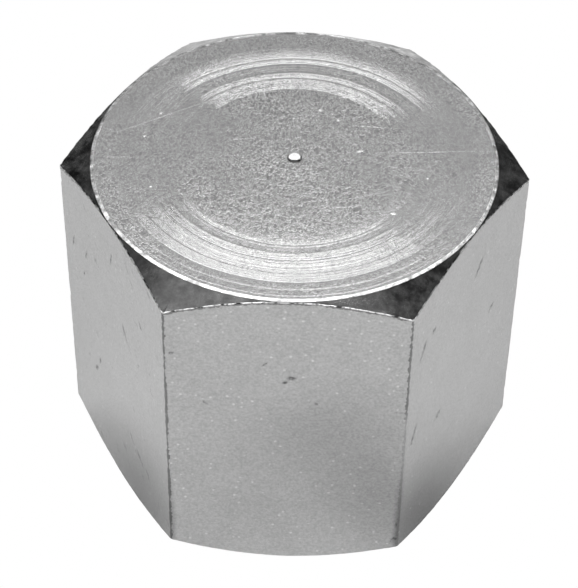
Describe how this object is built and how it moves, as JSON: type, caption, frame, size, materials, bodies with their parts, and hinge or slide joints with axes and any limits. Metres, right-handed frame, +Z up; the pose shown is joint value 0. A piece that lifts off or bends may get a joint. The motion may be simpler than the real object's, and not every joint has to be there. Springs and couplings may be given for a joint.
{
  "type": "pipe cap",
  "caption": "Closed hexagonal cap that screws onto the end of a pipe and seals it with a flat washer inside.",
  "frame": {"origin": "centre of the open mouth, on the plane of the mouth face", "axes": "+Z up along the thread axis to the closed end, -Y out of one flat, +X through a corner"},
  "size_m": [0.0312, 0.027, 0.0249],
  "materials": {
    "zinc_plated_steel": "bright zinc plate over a turned end face and cold-drawn flats",
    "nitrile_rubber": "matt moulded rubber"
  },
  "bodies": {
    "cap": {"cap_body": "zinc_plated_steel"},
    "washer": {"sealing_washer": "nitrile_rubber"}
  },
  "joints": [
    {"name": "washer_slide", "type": "slide", "parent": "cap", "child": "washer", "axis": [0, 0, -1], "range_m": [0, 0.022]}
  ]
}
